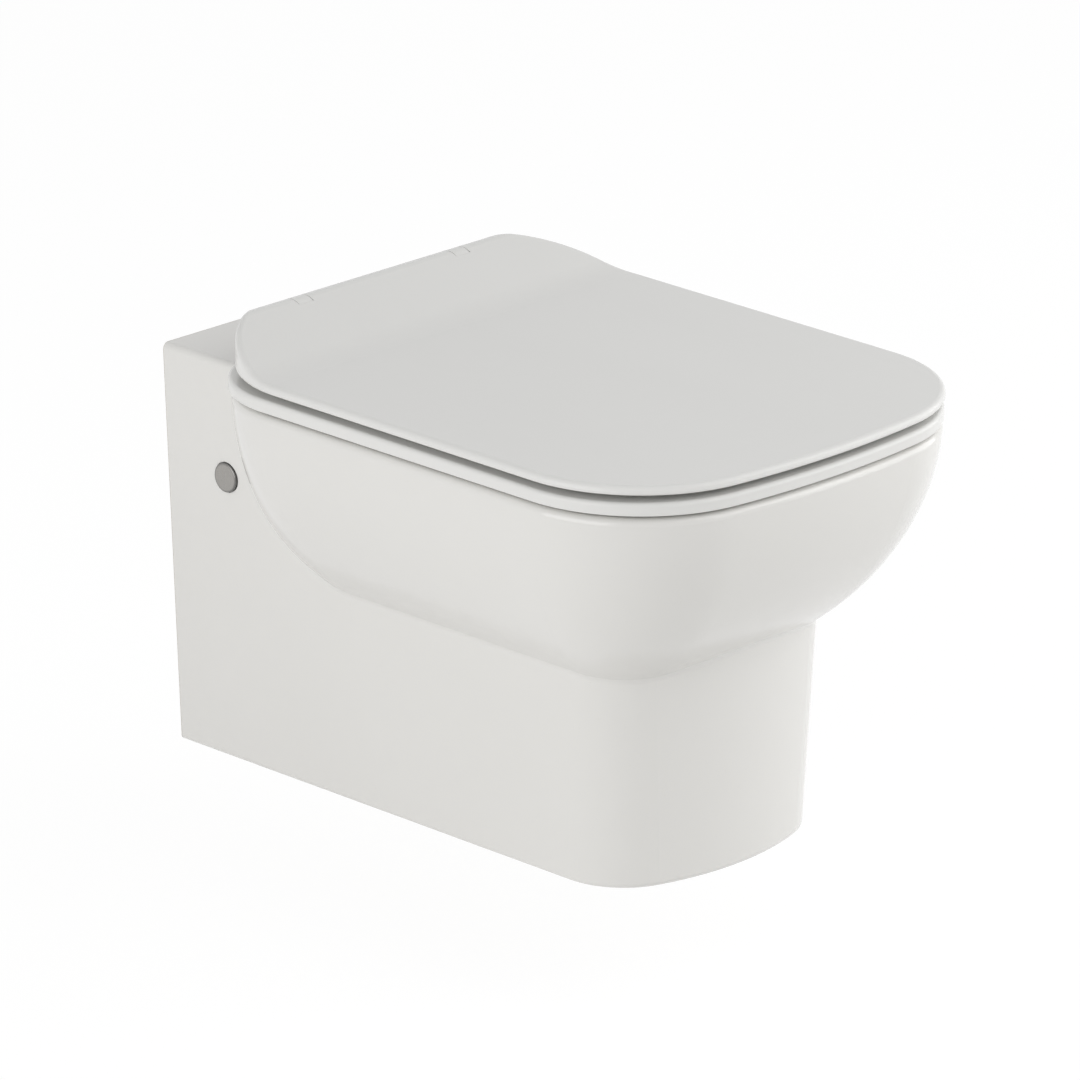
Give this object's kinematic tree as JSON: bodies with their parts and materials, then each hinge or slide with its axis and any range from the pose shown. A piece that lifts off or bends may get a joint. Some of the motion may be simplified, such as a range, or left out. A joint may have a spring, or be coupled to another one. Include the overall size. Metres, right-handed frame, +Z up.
{
  "type": "wall hung toilet",
  "caption": "Wall hung toilet: a glazed ceramic pan with a square-cornered bowl on a narrow body, with a hinged seat and a slim soft-close lid.",
  "frame": {"origin": "on the wall plane, half way between the two wall studs", "axes": "+Z up, +Y into the wall, so the front faces -Y, and +X to the right as seen from the front"},
  "size_m": [0.362, 0.54, 0.351],
  "materials": {
    "glaze": "white glaze, glossy",
    "seat_plastic": "white thermoset, glossy",
    "chrome": "polished",
    "steel": "zinc plated",
    "fixing_plastic": "moulded",
    "rubber": "matt",
    "buffer_rubber": "matt"
  },
  "bodies": {
    "pan": {"ceramic_pan": "glaze", "wall_sleeves": "steel", "side_screws": "steel", "side_bushes": "fixing_plastic", "side_caps": "chrome", "inlet_seal": "rubber", "hinge_post_right": "seat_plastic", "hinge_post_left": "seat_plastic", "hinge_pin_right": "steel", "hinge_pin_left": "steel", "hinge_gaskets": "rubber", "hinge_bolts": "steel", "hinge_expansion_plugs": "rubber", "hinge_cone_nuts": "fixing_plastic"},
    "seat": {"seat_ring": "seat_plastic", "seat_buffers": "buffer_rubber", "seat_damper": "fixing_plastic", "seat_bush": "fixing_plastic"},
    "lid": {"lid_shell": "seat_plastic", "lid_buffers": "buffer_rubber", "lid_damper": "fixing_plastic", "lid_bush": "fixing_plastic"}
  },
  "joints": [
    {"name": "seat_hinge", "type": "hinge", "parent": "pan", "child": "seat", "pos_m": [0, -0.097, 0.121], "axis": [-1, 0, 0], "range_deg": [0, 95]},
    {"name": "lid_hinge", "type": "hinge", "parent": "seat", "child": "lid", "pos_m": [0, -0.097, 0.121], "axis": [-1, 0, 0], "range_deg": [0, 100]}
  ]
}
